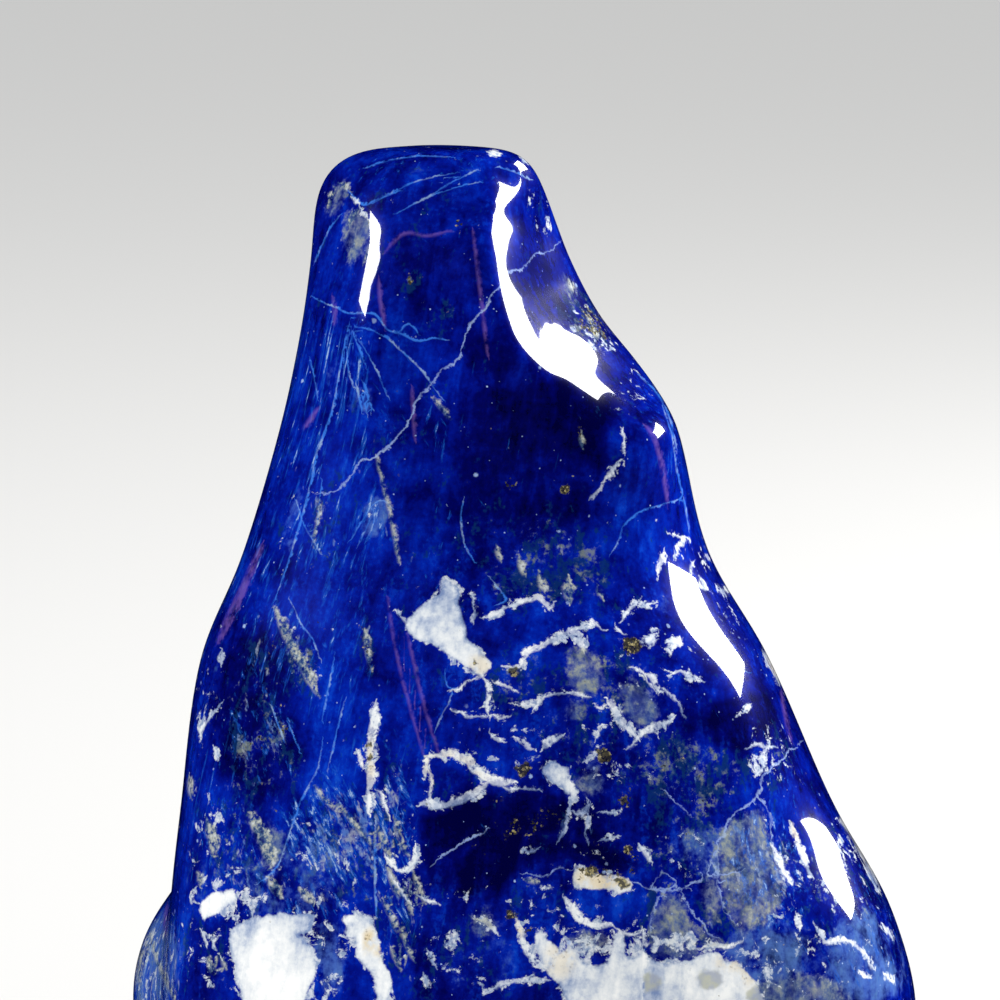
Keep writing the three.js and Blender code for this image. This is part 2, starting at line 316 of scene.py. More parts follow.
CALCITE_PATCHES = [
    # the sail
    [(442, 576), (447, 579), (460, 588), (459, 604), (464, 622), (466, 637), (476, 645), (484, 655),
     (490, 665), (482, 677), (468, 670), (451, 657), (433, 643), (415, 638), (405, 626), (408, 618),
     (423, 604), (438, 594)],
    # the boot
    [(542, 763), (556, 760), (559, 767), (570, 768), (563, 776), (571, 782), (574, 795), (566, 792),
     (559, 784), (549, 783), (543, 774)],
    # beside the pyrite
    [(641, 637), (655, 631), (657, 641), (650, 647), (644, 645)],
    # cream band with brown grains
    [(573, 868), (584, 866), (596, 874), (604, 875), (615, 874), (629, 880), (634, 888), (621, 893),
     (606, 888), (590, 889), (574, 888)],
    # the great mass at the bottom left
    [(230, 934), (238, 924), (253, 919), (283, 914), (316, 915), (313, 930), (300, 935), (314, 949),
     (316, 972), (307, 1000), (296, 1040), (270, 1060), (250, 1035), (242, 1000), (237, 977), (229, 952)],
    [(199, 906), (212, 893), (235, 888), (238, 904), (220, 909), (203, 922)],
    # the hook beside it
    [(341, 916), (373, 916), (376, 939), (381, 957), (391, 978), (387, 1010), (377, 1010), (373, 972),
     (357, 957), (357, 940), (339, 938), (347, 929)],
    # the mass along the bottom
    [(537, 926), (544, 936), (553, 941), (560, 954), (570, 947), (578, 951), (584, 963), (596, 966),
     (607, 961), (612, 948), (613, 931), (623, 930), (627, 943), (625, 956), (636, 959), (643, 949),
     (650, 959), (668, 963), (690, 962), (704, 954), (716, 953), (724, 961), (736, 959), (744, 968),
     (757, 985), (768, 1010), (770, 1045), (700, 1065), (610, 1050), (575, 1020), (562, 992), (553, 977),
     (542, 966), (533, 945)],
    [(443, 947), (451, 933), (459, 944)],
    [(446, 1040), (480, 1028), (520, 1045), (500, 1085), (455, 1080)],
    [(300, 1095), (360, 1080), (420, 1110), (380, 1150), (310, 1140)],
    [(800, 1060), (850, 1045), (880, 1080), (830, 1120)],
]

GREY_PATCHES = [
    # pebbles of pale grey matrix under the sail
    [(566, 650), (585, 646), (603, 662), (601, 687), (584, 697), (566, 684)],
    [(618, 684), (634, 676), (651, 690), (659, 712), (651, 726), (634, 728), (622, 712)],
    [(571, 703), (584, 702), (588, 714), (576, 720), (568, 714)],
    [(580, 770), (600, 766), (606, 786), (592, 796), (578, 788)],
    # the wide beige-grey field at the lower right
    [(722, 826), (738, 816), (758, 812), (766, 840), (780, 872), (784, 900), (776, 922), (744, 934),
     (726, 908), (716, 868)],
    [(652, 914), (667, 895), (682, 894), (692, 926), (696, 956), (672, 960), (651, 955)],
    [(700, 884), (716, 878), (722, 905), (712, 922), (702, 908)],
    [(700, 930), (718, 936), (728, 946), (706, 948)],
    # pebbles in the mass along the bottom
    [(692, 976), (704, 968), (720, 970), (727, 980), (714, 990), (697, 988)],
    [(640, 975), (652, 968), (664, 976), (660, 992), (644, 994)],
    [(592, 938), (604, 935), (611, 942), (606, 951), (594, 951)],
    # lens at the lower edge
    [(742, 998), (757, 982), (790, 976), (818, 975), (842, 984), (856, 1004), (820, 1020), (770, 1018)],
    # pale field at the lower left
    [(247, 816), (262, 822), (282, 838), (279, 857), (266, 868), (257, 846)],
    [(470, 915), (486, 910), (498, 925), (486, 938), (471, 934)],
    [(566, 940), (590, 930), (598, 950), (584, 958)],
    # green blob on the right rim of the neck
    [(564, 277), (573, 281), (576, 293), (570, 299), (564, 290)],
    # blotches on the knob
    [(346, 214), (360, 208), (370, 220), (367, 240), (358, 260), (349, 262), (345, 238)],
    [(330, 204), (334, 188), (344, 182), (350, 188), (342, 200), (333, 212)],
]

NAVY_PATCHES = [
    [(420, 817), (445, 813), (484, 796), (522, 790), (563, 797), (572, 817), (553, 830), (522, 831),
     (519, 855), (517, 873), (504, 883), (471, 897), (428, 889), (424, 850)],
    [(698, 712), (738, 694), (769, 692), (779, 720), (764, 743), (738, 753), (713, 743), (698, 728)],
    [(412, 645), (432, 647), (450, 661), (480, 681), (484, 700), (486, 712), (460, 708), (440, 722),
     (436, 746), (420, 740), (412, 700)],
    [(438, 772), (452, 768), (470, 778), (476, 788), (452, 797), (437, 792)],
    [(560, 842), (610, 846), (640, 860), (636, 872), (604, 872), (575, 862)],
    [(590, 932), (618, 930), (620, 955), (600, 958), (585, 950)],
    [(750, 940), (776, 930), (806, 932), (812, 948), (790, 962), (760, 960)],
    [(485, 690), (520, 700), (528, 714), (500, 716)],
]

PYRITE_PATCHES = [
    [(621, 645), (625, 637), (637, 636), (645, 643), (641, 652), (627, 655)],
    [(597, 750), (605, 748), (612, 753), (610, 762), (600, 763)],
    [(510, 669), (516, 668), (519, 673), (513, 676)],
    [(474, 660), (478, 660), (477, 666), (474, 666)],
    [(583, 866), (593, 865), (600, 872), (590, 877)],
    [(614, 879), (624, 878), (631, 885), (622, 889)],
    [(505, 911), (517, 910), (520, 918), (507, 920)],
    [(366, 743), (371, 741), (372, 749), (367, 750)],
    [(368, 753), (373, 753), (374, 762), (368, 762)],
    [(366, 765), (371, 765), (370, 771), (366, 771)],
    [(622, 796), (627, 796), (626, 804), (622, 803)],
    [(515, 768), (527, 763), (531, 769), (521, 778)],
    [(562, 486), (568, 486), (568, 493), (562, 492)],
    [(624, 846), (632, 847), (630, 854), (624, 853)],
]

CREAM_STAINS = [
    (514, 934, 7, 13, 10, 1.0),
    (369, 940, 6, 12, 0, 0.9),
    (382, 951, 6, 7, 0, 1.0),
    (602, 879, 30, 12, 8, 0.8),
    (337, 196, 10, 10, 0, 0.8),
    (370, 757, 7, 26, 0, 0.55),
    (452, 770, 36, 26, 0, 0.35),
    (696, 549, 8, 6, 40, 0.8),
    (772, 666, 8, 20, 25, 0.6),
    (480, 665, 12, 10, 30, 0.5),
    (588, 340, 10, 12, 40, 0.8),
    (860, 850, 8, 24, -25, 0.4),
    (300, 652, 8, 18, -30, 0.7),
    (796, 826, 5, 16, 0, 0.7),
    (730, 962, 16, 8, 0, 0.5),
    (602, 943, 9, 9, 0, 0.5),
    (560, 960, 16, 20, 0, 0.4),
    (748, 972, 12, 14, 0, 0.5),
]

# Strokes are painted one over another; each moves the amount under it towards its own.
TONE_LIGHT_AND_SHADE_STROKES = [
    # how bright the blue is, from -1 (nearly black) to 1 (bright ultramarine); some strokes are painted shade
    # and light, marked below
    (330, 470, 80, 200, -12, 0.12),
    (250, 640, 60, 90, -20, 0.20),
    (330, 640, 40, 60, 0, 0.5),
    (350, 700, 30, 90, 0, 0.5),
    (430, 180, 100, 24, 0, -0.05),
    (345, 260, 28, 60, 0, 0.1),
    # painted shade: the next two darken the knob's hollow
    (440, 280, 60, 50, 0, -0.45),
    (500, 340, 60, 60, -20, -0.3),
    (540, 290, 24, 60, -20, -0.2),
    # the next three: the deep navy under the shoulder, darkened further as painted shade
    (530, 435, 110, 48, 0, -1.0),
    (540, 410, 80, 30, 0, -1.0),
    (520, 500, 100, 45, 0, -0.6),
    (640, 460, 34, 60, -20, -0.2),
    (640, 560, 50, 50, 0, 0.3),
    (540, 590, 100, 50, 0, 0.0),
    (440, 690, 40, 60, 0, 0.6),
    (470, 730, 60, 40, 0, 0.35),
    (540, 680, 50, 40, 0, 0.3),
    (600, 715, 60, 44, 0, 0.22),
    (255, 700, 42, 74, -6, -0.7),
    (265, 760, 44, 40, 0, -0.7),
    (730, 720, 50, 34, -10, -0.2),
    (700, 780, 60, 40, 0, -0.1),
    (480, 840, 60, 50, 0, -0.5),
    (570, 830, 60, 30, 0, -0.4),
    (650, 830, 40, 40, 0, 0.1),
    (330, 830, 60, 60, 0, 0.25),
    (210, 850, 30, 80, 0, 0.3),
    (500, 950, 60, 40, 0, 0.35),
    (600, 900, 40, 20, 0, 0.3),
    (820, 930, 60, 40, 0, 0.0),
    # painted light: the lobe lightened against the shadow it sits in
    (150, 960, 40, 70, 0, 0.95),
    # the great white mass's middle: calcite, whitened further as a painted highlight
    (278, 965, 36, 50, 0, 0.8),
    (880, 900, 20, 90, -14, -0.15),
    (800, 760, 20, 70, -24, -0.30),
]

GREY_STROKES = [
    # how much grey-green grain there is
    (370, 240, 26, 46, 0, 0.40),
    (345, 210, 24, 26, 0, 0.40),
    (414, 281, 9, 11, 0, 0.80),
    (448, 310, 8, 10, 0, 0.80),
    (540, 200, 14, 40, -14, 0.35),
    (585, 320, 22, 42, -34, 0.75),
    (630, 400, 34, 24, -40, 0.35),
    (535, 575, 60, 26, 0, 0.80),
    (410, 470, 60, 60, 0, 0.30),
    (322, 530, 18, 40, 0, 0.55),
    (500, 540, 70, 40, 0, 0.45),
    (560, 570, 60, 40, 0, 0.72),
    (440, 560, 40, 30, 0, 0.35),
    (600, 600, 40, 20, 0, 0.45),
    (520, 680, 40, 34, 0, 0.60),
    (600, 680, 60, 40, 0, 0.66),
    (640, 720, 30, 24, 0, 0.50),
    (580, 740, 50, 40, 0, 0.54),
    (690, 770, 60, 44, 0, 0.74),
    (770, 760, 30, 30, 0, 0.60),
    (688, 845, 40, 50, 0, 0.62),
    (750, 870, 50, 66, 0, 0.62),
    (680, 920, 60, 40, 0, 0.62),
    (255, 710, 34, 70, -6, 0.54),
    (265, 770, 40, 34, 0, 0.60),
    (243, 745, 9, 12, 0, 0.85),
    (278, 738, 9, 20, 0, 0.85),
    (300, 660, 16, 34, -26, 0.75),
    (366, 645, 9, 30, -6, 0.60),
    (240, 850, 50, 60, 0, 0.55),
    (350, 850, 54, 60, 0, 0.60),
    (395, 820, 18, 70, 0, 0.55),
    (400, 930, 30, 60, 0, 0.50),
    (460, 960, 40, 40, 0, 0.48),
    (540, 900, 40, 30, 0, 0.42),
    (840, 900, 50, 80, 0, 0.50),
    (150, 970, 36, 60, 0, 0.60),
    (206, 955, 24, 44, -14, 0.52),
    (480, 845, 56, 44, 0, 0.05),
    (735, 722, 44, 28, 0, 0.08),
    (530, 430, 90, 44, 0, 0.06),
]

PALE_STROKES = [
    # how much white grain there is
    (530, 165, 24, 12, 20, 0.45),
    (540, 212, 14, 30, -14, 0.54),
    (603, 348, 20, 14, -34, 0.60),
    (588, 325, 18, 30, -34, 0.55),
    (640, 385, 40, 22, -40, 0.45),
    (690, 560, 26, 30, -20, 0.50),
    (720, 620, 24, 40, -28, 0.50),
    (640, 680, 50, 40, 0, 0.42),
    (680, 660, 24, 24, 0, 0.45),
    (500, 740, 60, 40, 0, 0.44),
    (620, 760, 60, 40, 0, 0.42),
    (376, 520, 14, 24, 20, 0.42),
    (364, 396, 10, 18, -6, 0.50),
    (292, 530, 12, 40, 14, 0.50),
    (770, 760, 30, 40, 0, 0.50),
    (306, 520, 16, 50, 10, 0.40),
    (402, 300, 26, 10, 0, 0.30),
    (300, 655, 16, 36, -26, 0.55),
    (205, 700, 14, 60, 0, 0.45),
    (215, 850, 34, 60, 0, 0.50),
    (230, 900, 50, 26, 0, 0.70),
    (320, 870, 60, 50, 0, 0.50),
    (395, 830, 22, 70, 0, 0.44),
    (400, 920, 26, 60, 0, 0.48),
    (330, 960, 26, 50, 0, 0.62),
    (460, 890, 50, 12, 0, 0.50),
    (460, 960, 50, 40, 0, 0.40),
    (560, 920, 60, 40, 0, 0.52),
    (640, 960, 110, 34, 0, 0.75),
    (780, 870, 40, 60, 0, 0.40),
    (850, 880, 34, 60, -14, 0.54),
    (850, 960, 60, 40, 0, 0.42),
    (765, 955, 44, 34, 0, 0.56),
    (690, 850, 30, 50, 0, 0.42),
    (150, 970, 36, 60, 0, 0.54),
    (206, 955, 24, 44, -14, 0.56),
    (600, 850, 60, 24, 0, 0.30),
    (480, 845, 52, 40, 0, 0.0),
]

STREAK_STROKES = [
    # how much there is of the upright streaks
    (330, 460, 70, 180, -10, 0.60),
    (420, 480, 40, 140, 0, 0.42),
    (260, 600, 44, 100, -18, 0.65),
    (308, 520, 20, 60, 10, 0.70),
    (345, 370, 26, 50, 10, 0.72),
    (374, 518, 16, 28, 16, 0.85),
    (340, 680, 50, 90, 0, 0.55),
    (400, 860, 26, 150, 0, 0.48),
    (210, 820, 34, 110, 0, 0.50),
    (150, 960, 36, 60, 0, 0.80),
    (770, 870, 46, 80, 0, 0.70),
    (670, 440, 30, 70, -24, 0.50),
    (790, 790, 26, 70, -30, 0.45),
    (880, 920, 26, 80, -14, 0.50),
    (620, 970, 90, 30, 0, 0.40),
    (430, 170, 100, 20, 0, 0.45),
]

SLANT_STROKES = [
    # how much there is of the streaks that slant down to the right
    (330, 830, 56, 70, 0, 0.86),
    (260, 720, 44, 80, 0, 0.55),
    (300, 900, 60, 30, 0, 0.60),
    (310, 660, 26, 50, 0, 0.50),
    (395, 850, 24, 110, 0, 0.76),
    (225, 840, 34, 60, 0, 0.55),
    (240, 880, 40, 40, 0, 0.60),
    (470, 230, 90, 60, 0, 0.20),
    (400, 400, 60, 60, 0, 0.35),
    (840, 960, 60, 40, 0, 0.50),
]

HAZE_AND_SHEEN_STROKES = [
    # how much there is of the soft blue-grey that clouds the blue; some strokes are painted sheen and light,
    # marked below
    (865, 960, 50, 60, 0, 1.00),
    (800, 900, 30, 60, 0, 0.55),
    (696, 850, 36, 56, 0, 0.85),
    (330, 955, 20, 50, 0, 0.90),
    (640, 905, 60, 24, 0, 0.50),
    (545, 905, 70, 26, 0, 0.45),
    (480, 965, 50, 40, 0, 0.60),
    (765, 955, 50, 40, 0, 0.95),
    (650, 900, 60, 50, 0, 0.50),
    # painted light: the lobe lightened against the shadow it sits in
    (150, 960, 40, 60, 0, 0.95),
    (220, 880, 44, 60, 0, 0.65),
    (300, 880, 60, 60, 0, 0.72),
    (215, 800, 30, 60, 0, 0.50),
    (395, 860, 24, 80, 0, 0.50),
    (210, 700, 16, 70, 10, 0.50),
    (690, 790, 60, 40, 0, 0.45),
    (374, 518, 16, 26, 20, 0.95),
    (364, 398, 12, 20, -6, 0.90),
    (296, 520, 12, 46, 14, 0.80),
    (540, 690, 60, 40, 0, 0.56),
    (600, 750, 60, 40, 0, 0.50),
    (312, 500, 12, 90, 12, 0.50),
    (345, 370, 26, 60, 8, 0.60),
    (440, 165, 90, 20, 0, 0.50),
    (620, 690, 60, 50, 0, 0.52),
    # painted sheen: the next two lay a pale glow beside the right rim's middle gleam
    (690, 620, 30, 60, -28, 0.40),
    (655, 610, 34, 50, -28, 0.55),
    (885, 900, 16, 80, -14, 0.60),
]

OLIVE_STROKES = [
    # how much there is of olive and gold grain
    (415, 281, 10, 11, 0, 0.75),
    (448, 309, 8, 9, 0, 0.75),
    (459, 225, 4, 11, 0, 0.60),
    (372, 242, 16, 24, 0, 0.30),
    (592, 325, 14, 26, -34, 0.90),
    (581, 434, 5, 14, 0, 0.60),
    (565, 489, 6, 7, 0, 0.80),
    (507, 485, 9, 7, 0, 0.50),
    (545, 446, 6, 6, 0, 0.40),
    (570, 590, 12, 14, 0, 0.45),
    (260, 690, 34, 50, 0, 0.26),
    (272, 745, 26, 40, 0, 0.36),
    (366, 645, 7, 24, -6, 0.70),
    (300, 655, 10, 24, -26, 0.45),
    (520, 830, 32, 13, 0, 0.50),
    (575, 815, 40, 8, 0, 0.50),
    (600, 845, 46, 14, 0, 0.45),
    (624, 800, 8, 16, 0, 0.60),
    (500, 800, 14, 8, 0, 0.50),
    (628, 866, 12, 10, 0, 0.60),
    (598, 872, 30, 8, 10, 0.90),
    (700, 775, 40, 30, 0, 0.32),
    (530, 930, 8, 8, 0, 0.60),
    (660, 700, 20, 20, 0, 0.35),
    (790, 950, 20, 8, 0, 0.40),
]

# The polish's gentle relief, in pixels, and in millimetres towards the camera: soft strokes
# (x, y, half-width, half-height, tilt, rise), and ridges (left and right half-width, points with their rise).
RELIEF_STROKES = [
    (362, 335, 44, 60, 0, 1.8),     # the left of the knob, which turns the upper softbox into one short gleam
    (520, 154, 20, 16, 0, 1.2),     # the knob's right corner
    (504, 180, 18, 20, 0, -1.2),    # and just under it
    (546, 230, 24, 36, 0, -1.6),    # the knob's right face
    (566, 296, 34, 34, 0, -1.2),    # the dent above the shoulder
    (582, 336, 30, 32, 0, 1.4),     # the shoulder's swell
    (676, 425, 30, 30, 0, 3.0),     # the rim below it
    (640, 460, 40, 35, 0, 1.4),     # and beside that
    (856, 835, 26, 40, -30, 2.2),   # the rim of the lower swell
    (790, 850, 20, 40, 0, -0.6),    # the dent beside it
]
RELIEF_RIDGES = [
    # the sharp edge from the knob's right corner down to the shoulder
    (80, 24, [(510, 176, 0.0), (491, 197, 0.12), (483, 225, 0.72), (483, 255, 1.3), (487, 285, 1.8),
              (495, 315, 2.15), (507, 345, 2.4), (534, 368, 2.0), (569, 384, 1.3), (606, 395, 0.5)]),
    # the broad fold that carries it
    (100, 48, [(500, 215, 0.0), (498, 240, 1.4), (500, 270, 2.3), (512, 335, 2.3), (530, 360, 1.4),
               (560, 380, 0.0)]),
    # the lip at its upper end
    (20, 16, [(522, 170, 0.0), (507, 184, 0.65), (495, 205, 0.8), (488, 235, 0.4), (488, 260, 0.0)]),
]

# What is painted: strokes, the amount where none reaches, and the amount on the sides and the back.
PAINTED = {
    "tones": ((TONE_LIGHT_AND_SHADE_STROKES, 0.05, 0.10), (GREY_STROKES, 0.20, 0.50), (PALE_STROKES, 0.16, 0.46)),
    "grains": ((STREAK_STROKES, 0.22, 0.50), (SLANT_STROKES, 0.12, 0.30), (OLIVE_STROKES, 0.10, 0.22)),
}
PAINTED_HAZE_AND_SHEEN = (HAZE_AND_SHEEN_STROKES, 0.10, 0.25)

# ---------------------------------------------------------------------------------------------------------
# The picture's frame


def camera_frame():
    """Where the camera is, and the way it looks, its right and its up."""
    forward = Vector((0.0, math.cos(ELEVATION), -math.sin(ELEVATION)))
    up = Vector((0.0, math.sin(ELEVATION), math.cos(ELEVATION)))
    return LOOK_AT - forward * DISTANCE, forward, Vector((1.0, 0.0, 0.0)), up


def make_camera():
    eye, forward, _, _ = camera_frame()
    data = bpy.data.cameras.new("camera")
    data.sensor_width = SENSOR
    data.lens = SENSOR * DISTANCE / (PICTURE_SIDE * PIXEL_AT_LOOK)
    data.clip_start = NEAREST
    camera = bpy.data.objects.new("camera", data)
    camera.location = eye
    camera.rotation_euler = forward.to_track_quat("-Z", "Y").to_euler()
    bpy.context.scene.collection.objects.link(camera)
    bpy.context.scene.camera = camera


def picture_places(points):
    """The pixel of each point, as (right, down)."""
    eye, forward, right, up = camera_frame()
    away = points - np.array(eye)
    scale = DISTANCE / PIXEL_AT_LOOK / (away @ np.array(forward))
    middle = PICTURE_SIDE / 2
    return np.stack([middle + away @ np.array(right) * scale, middle - away @ np.array(up) * scale], axis=1)


def toward_camera(points):
    """The unit vector from each point to the camera."""
    toward = np.array(camera_frame()[0]) - points
    return toward / np.linalg.norm(toward, axis=1)[:, None]


# ---------------------------------------------------------------------------------------------------------
# The mesh


def points_and_normals(mesh):
    points, normals = np.empty((2, len(mesh.vertices) * 3))
    mesh.vertices.foreach_get("co", points)
    mesh.vertex_normals.foreach_get("vector", normals)
    return points.reshape(-1, 3), normals.reshape(-1, 3)


def move_points(mesh, points):
    mesh.vertices.foreach_set("co", points.ravel())
    mesh.update()


def welded(mesh):
    """The points and triangles of a mesh, with points at one place made one."""
    points, _ = points_and_normals(mesh)
    mesh.calc_loop_triangles()
    faces = np.empty(len(mesh.loop_triangles) * 3, np.int32)
    mesh.loop_triangles.foreach_get("vertices", faces)
    _, first, index = np.unique(points.round(WELD_DECIMALS), axis=0, return_index=True, return_inverse=True)
    return points[first], index.ravel()[faces].reshape(-1, 3)


def sides_of(faces):
    """The three sides of every triangle, as pairs of points."""
    return np.concatenate([faces[:, [0, 1]], faces[:, [1, 2]], faces[:, [2, 0]]])


def refined(points, faces):
    """One step of Loop subdivision of a closed triangle mesh."""
    count = len(faces)
    sides = sides_of(faces)
    opposite = np.concatenate([faces[:, 2], faces[:, 0], faces[:, 1]])
    edges, index = np.unique(np.sort(sides, axis=1), axis=0, return_inverse=True)
    index = index.ravel()
    across = np.zeros((len(edges), 3))
    np.add.at(across, index, points[opposite])
    middles = points[edges].sum(axis=1) * 3 / 8 + across / 8
    around = np.zeros_like(points)
    np.add.at(around, edges[:, 0], points[edges[:, 1]])
    np.add.at(around, edges[:, 1], points[edges[:, 0]])
    valence = np.bincount(edges.ravel(), minlength=len(points))
    share = 5 / 8 - (3 / 8 + np.cos(2 * np.pi / valence) / 4) ** 2
    moved = points * (1 - share)[:, None] + around * (share / valence)[:, None]
    a, b, c = faces.T
    ab, bc, ca = index.reshape(3, count) + len(points)
    corners = [(a, ab, ca), (b, bc, ab), (c, ca, bc), (ab, bc, ca)]
    return np.concatenate([moved, middles]), np.concatenate([np.stack(corner, axis=1) for corner in corners])


def drawn_rise(places):
    """The rise drawn for each place, in millimetres."""
    rise = np.zeros(len(places))
    for *stroke, height in RELIEF_STROKES:
        rise += height * np.exp(-(stroke_reach(places, *stroke) ** 2))
    for left, right, ridge in RELIEF_RIDGES:
        route = smooth_route(ridge)
        distance, side, along = from_route(places, route[:, :2])
        height = np.interp(along * (len(route) - 1), np.arange(len(route)), route[:, 2])
        rise += height * np.exp(-((distance / np.where(side > 0, left, right)) ** 2))
    return rise


def relief(points, facing):
    """How far each point moves towards the camera, in metres: the drawn rise, evened over a small disc."""
    places = picture_places(points)
    steps = np.arange(RELIEF_STEPS)
    reach = RELIEF_REACH * np.sqrt((steps + 0.5) / RELIEF_STEPS)
    offsets = np.stack([reach * np.cos(steps * GOLDEN_TURN), reach * np.sin(steps * GOLDEN_TURN)], axis=1)
    rise = np.zeros(len(points))
    near = np.nonzero((places[:, 0] > RELIEF_LEFT) & (facing > RELIEF_FADE[0]))[0]
    for offset in offsets:
        rise[near] += drawn_rise(places[near] + offset) / RELIEF_STEPS
    return rise * MILLIMETRE * smooth_step(*RELIEF_FADE, facing)


def raise_relief(mesh):
    """Moves the mesh's points along the camera's lines of sight by the relief."""
    points, normals = points_and_normals(mesh)
    toward = toward_camera(points)
    move_points(mesh, points + toward * relief(points, (toward * normals).sum(axis=1))[:, None])


def evened(points, faces):
    """The points with the unevenness between neighbours taken out, and the form kept (Taubin's smoothing)."""
    start, end = sides_of(faces).T
    neighbours = np.bincount(start, minlength=len(points))[:, None]
    for share in EVENING_SHARES * EVENING_ROUNDS:
        around = np.stack([np.bincount(start, points[end, axis], len(points)) for axis in range(3)], axis=1)
        points = points + share * (around / neighbours - points)
    return points


def make_stone(node):
    """The polished stone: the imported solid's mesh, refined to a smooth surface."""
    points, faces = welded(node.data)
    for _ in range(REFINEMENTS):
        points, faces = refined(points, faces)
    mesh = bpy.data.meshes.new("polished_stone")
    mesh.from_pydata(points.tolist(), [], faces.tolist())
    mesh.polygons.foreach_set("use_smooth", np.ones(len(faces), bool))
    mesh.update()
    raise_relief(mesh)
    points, _ = points_and_normals(mesh)
    move_points(mesh, evened(points, faces))
    stone = bpy.data.objects.new("polished_stone", mesh)
    bpy.context.scene.collection.objects.link(stone)
    return stone


# ---------------------------------------------------------------------------------------------------------
# From drawn markings to amounts on the surface


def smooth_step(low, high, value):
    share = np.clip((value - low) / (high - low), 0, 1)
    return share * share * (3 - 2 * share)


def smooth_route(points):
    """A curve through the points of a route (Catmull-Rom)."""
    points = np.array(points, float)
    if len(points) < 3:
        return points
    padded = np.concatenate([2 * points[:1] - points[1:2], points, 2 * points[-1:] - points[-2:-1]])
    curve = []
    for before, start, end, after in zip(padded, padded[1:], padded[2:], padded[3:]):
        for t in np.arange(ROUTE_STEPS) / ROUTE_STEPS:
            curve.append(
                0.5 * (2 * start + (end - before) * t + (2 * before - 5 * start + 4 * end - after) * t**2
                       + (3 * start - before - 3 * end + after) * t**3)
            )
    curve.append(points[-1])
    return np.array(curve)


def near_box(places, route):
    """Which places lie in or near a route's box."""
    low, high = route.min(axis=0) - FAR, route.max(axis=0) + FAR
    return np.nonzero(((places > low) & (places < high)).all(axis=1))[0]


def from_route(places, route):
    """The distance of each place from a route, the side it is on and how far along the route it is."""
    starts, ways = route[:-1], route[1:] - route[:-1]
    offsets = places[:, None] - starts
    along = np.clip((offsets * ways).sum(axis=2) / (ways**2).sum(axis=1), 0, 1)
    gaps = offsets - along[:, :, None] * ways
    distances = np.hypot(gaps[..., 0], gaps[..., 1])
    nearest = distances.argmin(axis=1)
    rows = np.arange(len(places))
    gap, way = gaps[rows, nearest], ways[nearest]
    side = np.sign(way[:, 0] * gap[:, 1] - way[:, 1] * gap[:, 0])
    return distances[rows, nearest], side, (nearest + along[rows, nearest]) / len(ways)


def line_field(places, routes):
    """At each place: signed distance from the nearest route, the gap to its edge, and its half-width."""
    field = np.tile((FAR, FAR, 1.0), (len(places), 1))
    for half_width, points in routes:
        route = smooth_route(points)
        rows = near_box(places, route)
        if len(rows) == 0:
            continue
        distance, side, along = from_route(places[rows], route)
        width = half_width * np.minimum(1, LINE_END + LINE_TAPER * np.minimum(along, 1 - along))
        better = distance - width < field[rows, 1]
        found = np.stack([distance * side, distance - width, width], axis=1)
        field[rows[better]] = found[better]
    return field


def inside(places, outline):
    """Whether each place is inside a closed outline."""
    within = np.zeros(len(places), bool)
    for (x1, y1), (x2, y2) in zip(outline, np.roll(outline, -1, axis=0)):
        crosses = (y1 > places[:, 1]) != (y2 > places[:, 1])
        slope = (x2 - x1) / (y2 - y1) if y1 != y2 else 0.0
        within ^= crosses & (places[:, 0] < x1 + slope * (places[:, 1] - y1))
    return within


def patch_field(places, outlines):
    """How far inside the nearest outline each place is, in pixels; less than 0 outside."""
    field = np.full(len(places), -FAR)
    for points in outlines:
        outline = np.array(points, float)
        rows = near_box(places, outline)
        if len(rows) == 0:
            continue
        distance, _, _ = from_route(places[rows], np.concatenate([outline, outline[:1]]))
        distance = np.where(inside(places[rows], outline), distance, -distance)
        field[rows] = np.maximum(field[rows], distance)
    return field


def stroke_reach(places, x, y, half_width, half_height, tilt):
    """How far each place is from a stroke's middle, as a share of the stroke's size."""
    turn = math.radians(tilt)
    right, down = places[:, 0] - x, places[:, 1] - y
    across = (right * math.cos(turn) + down * math.sin(turn)) / half_width
    along = (down * math.cos(turn) - right * math.sin(turn)) / half_height
    return np.hypot(across, along)


def stroke_field(places, strokes, ground):
    """Soft strokes painted one over another on an even ground, each moving what is under it to its amount."""
    field = np.full(len(places), float(ground))
    for *stroke, amount in strokes:
        field += (amount - field) * (1 - smooth_step(*STROKE_EDGE, stroke_reach(places, *stroke)))
    return field


def dealt(routes, count):
    """The routes dealt into piles, so that those near each other are apart where they can be."""
    piles = [[] for _ in range(count)]
    for half_width, points in routes:
        route = smooth_route(points)

        def room(pile):
            gaps = [np.hypot(*(route[:, None] - smooth_route(other)).T).min() for _, other in pile]
            return min(gaps, default=FAR * FAR)

        max(piles, key=room).append((half_width, points))
    return piles


def marking_places(points, facing):
    """The pixel that marks each point. Veins run through the stone, drifting in slow waves to its back."""
    places = picture_places(points)
    behind = smooth_step(0.0, 0.9, -facing)[:, None]
    right, down = places.T
    drift_right = 90 * np.sin(down / 120 + 0.6) + 30 * np.sin(right / 45)
    drift_down = 70 * np.cos(right / 95) - 60
    return places + behind * np.stack([drift_right, drift_down], axis=1)


def store(mesh, name, *columns):
    attribute = mesh.attributes.new(name, "FLOAT_VECTOR", "POINT")
    values = np.stack(columns, axis=1).astype(np.float32)
    attribute.data.foreach_set("vector", values.ravel())


